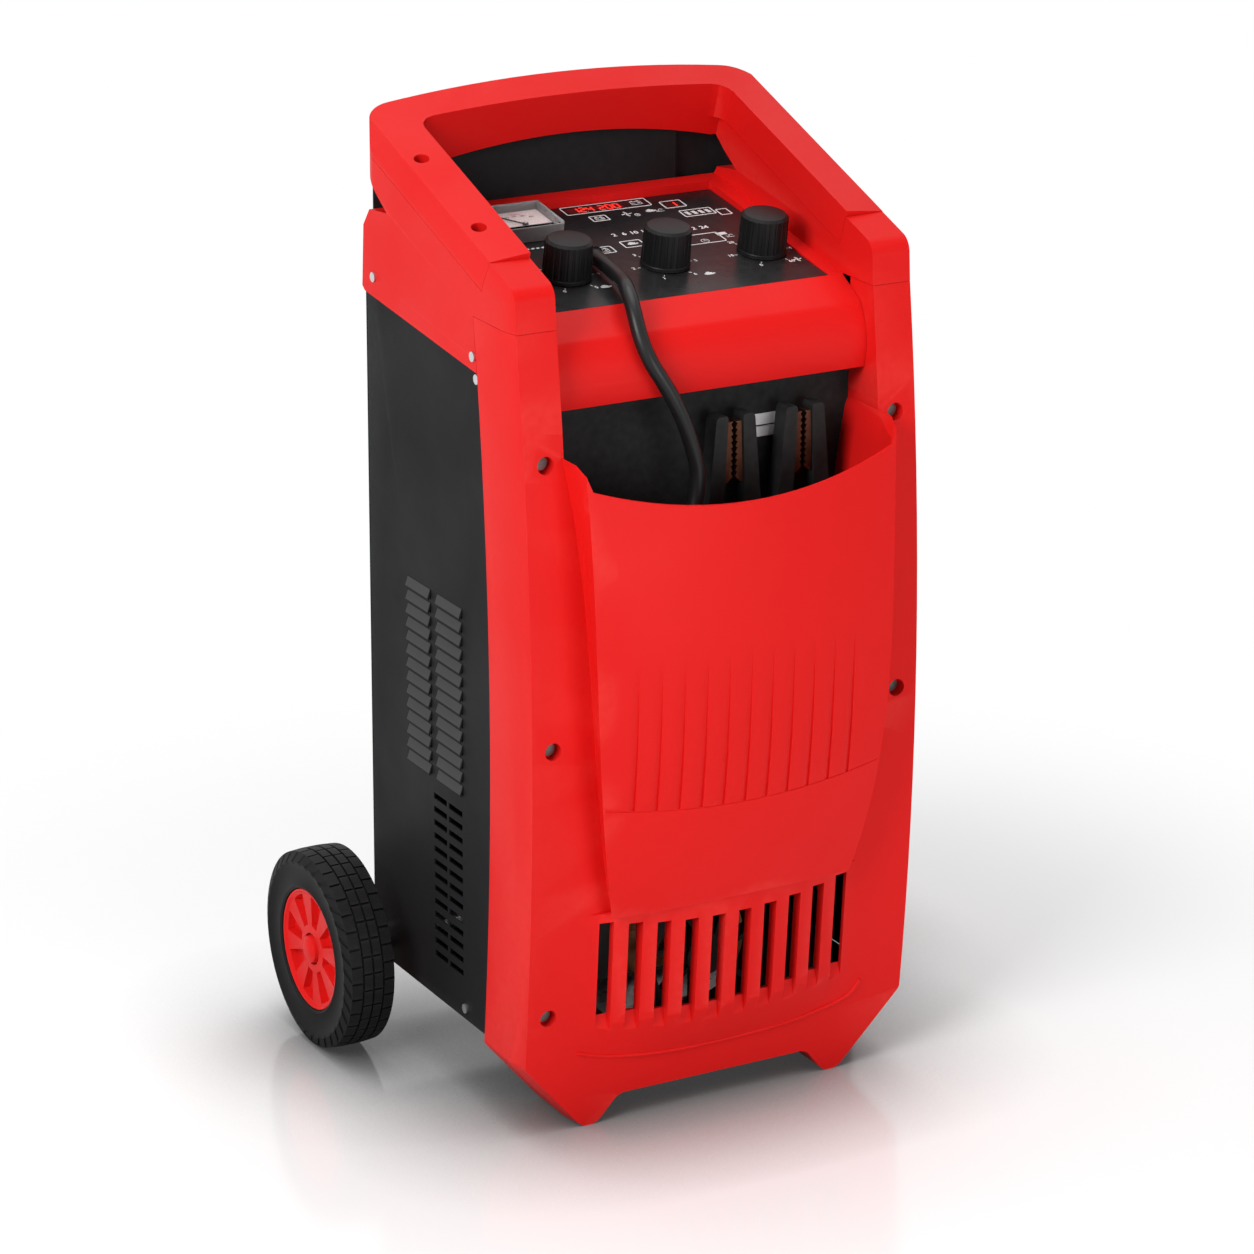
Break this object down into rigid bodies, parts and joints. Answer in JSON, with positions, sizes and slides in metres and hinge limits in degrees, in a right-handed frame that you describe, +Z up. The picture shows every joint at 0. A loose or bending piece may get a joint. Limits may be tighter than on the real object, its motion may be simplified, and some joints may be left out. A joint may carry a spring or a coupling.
{
  "type": "wheeled battery charger",
  "caption": "Upright wheeled battery charger with a looped handle, sloping control panel, front cable pocket, louvred sides and rear wheels.",
  "frame": {"origin": "middle of the bounding box at floor level, measured without the cords", "axes": "+Z up, -Y towards the front pocket, +X to the viewer's right when facing the front"},
  "size_m": [0.436, 0.3524, 0.71],
  "materials": {
    "red_plastic": "satin moulded",
    "black_sheet": "satin powder coat",
    "panel_black": "satin",
    "zinc_steel": "zinc plated",
    "black_plastic": "fine grain",
    "clear_plastic": "clear",
    "red_window": "tinted",
    "dial_white": "printed",
    "board_green": "lacquered",
    "tyre_rubber": "moulded",
    "cord_rubber": "smooth",
    "lamination": "varnished",
    "winding": "enamelled wire",
    "aluminium": "extruded",
    "copper": "copper plated"
  },
  "bodies": {
    "case": {"axle": "zinc_steel", "axle_brackets": "zinc_steel", "axle_caps": "black_plastic", "axle_spacers": "zinc_steel", "base_plate": "black_sheet", "cable_splitter": "black_plastic", "charge_switch": "black_plastic", "clamp_lead_left": "cord_rubber", "clamp_lead_right": "cord_rubber", "clamp_left_fixed": "black_plastic", "clamp_right_fixed": "black_plastic", "clamp_spring_left": "zinc_steel", "clamp_spring_right": "zinc_steel", "control_board": "board_green", "control_panel": "panel_black", "current_switch": "black_plastic", "diodes": "zinc_steel", "display_windows": "red_window", "fan_frame": "black_plastic", "front_screws": "zinc_steel", "front_shell": "red_plastic", "handle_frame": "red_plastic", "handle_screws": "zinc_steel", "heat_sink": "aluminium", "jaw_left_fixed": "copper", "jaw_right_fixed": "copper", "mains_inlet_gland": "black_plastic", "meter_case": "black_plastic", "meter_lens": "clear_plastic", "meter_movement": "dial_white", "mounting_rails": "zinc_steel", "output_cable": "cord_rubber", "output_cable_coil": "cord_rubber", "output_gland": "black_plastic", "pocket_back_plate": "black_sheet", "pocket_plates": "zinc_steel", "rear_panel": "black_sheet", "rear_upper_cover": "black_sheet", "side_panel_left": "black_sheet", "side_panel_right": "black_sheet", "side_screws": "zinc_steel", "timer": "black_plastic", "top_cover": "red_plastic", "transformer_core": "lamination", "transformer_feet": "zinc_steel", "winding_primary": "winding", "winding_secondary": "winding"},
    "wheel_left": {"tyre_left": "tyre_rubber", "hub_left": "red_plastic"},
    "wheel_right": {"tyre_right": "tyre_rubber", "hub_right": "red_plastic"},
    "fan_rotor_body": {"fan_rotor": "black_plastic"},
    "meter_pointer": {"meter_needle": "black_plastic"},
    "clamp_left_arm": {"clamp_left_moving": "black_plastic", "jaw_left_moving": "copper"},
    "clamp_right_arm": {"clamp_right_moving": "black_plastic", "jaw_right_moving": "copper"},
    "charge_knob_body": {"charge_knob": "black_plastic"},
    "current_knob_body": {"current_knob": "black_plastic"},
    "timer_knob_body": {"timer_knob": "black_plastic"}
  },
  "joints": [
    {"name": "wheel_left_spin", "type": "hinge", "parent": "case", "child": "wheel_left", "pos_m": [-0.198, 0.10075, 0.075], "axis": [1, 0, 0], "continuous": true},
    {"name": "wheel_right_spin", "type": "hinge", "parent": "case", "child": "wheel_right", "pos_m": [0.198, 0.10075, 0.075], "axis": [1, 0, 0], "continuous": true},
    {"name": "charge_knob_turn", "type": "hinge", "parent": "case", "child": "charge_knob_body", "pos_m": [-0.068, -0.02671, 0.5983], "axis": [0, -0.1552, 0.9879], "range_deg": [-150, 0]},
    {"name": "current_knob_turn", "type": "hinge", "parent": "case", "child": "current_knob_body", "pos_m": [0.0105, -0.02671, 0.5983], "axis": [0, -0.1552, 0.9879], "range_deg": [-150, 0]},
    {"name": "timer_knob_turn", "type": "hinge", "parent": "case", "child": "timer_knob_body", "pos_m": [0.089, -0.02671, 0.5983], "axis": [0, -0.1552, 0.9879], "range_deg": [-300, 0]},
    {"name": "meter_needle_swing", "type": "hinge", "parent": "case", "child": "meter_pointer", "pos_m": [-0.06, 0.05034, 0.61041], "axis": [0, -0.1552, 0.9879], "range_deg": [-76, 0], "stiffness_Nm_per_rad": 0.002},
    {"name": "fan_spin", "type": "hinge", "parent": "case", "child": "fan_rotor_body", "pos_m": [0, -0.10475, 0.109], "axis": [0, 1, 0], "continuous": true},
    {"name": "clamp_left_open", "type": "hinge", "parent": "case", "child": "clamp_left_arm", "pos_m": [0.02, -0.10475, 0.436], "axis": [0, 1, 0], "range_deg": [-20, 0], "stiffness_Nm_per_rad": 1, "springref_deg": 20.05},
    {"name": "clamp_right_open", "type": "hinge", "parent": "case", "child": "clamp_right_arm", "pos_m": [0.076, -0.10475, 0.436], "axis": [0, 1, 0], "range_deg": [0, 20], "stiffness_Nm_per_rad": 1, "springref_deg": -20.05}
  ]
}
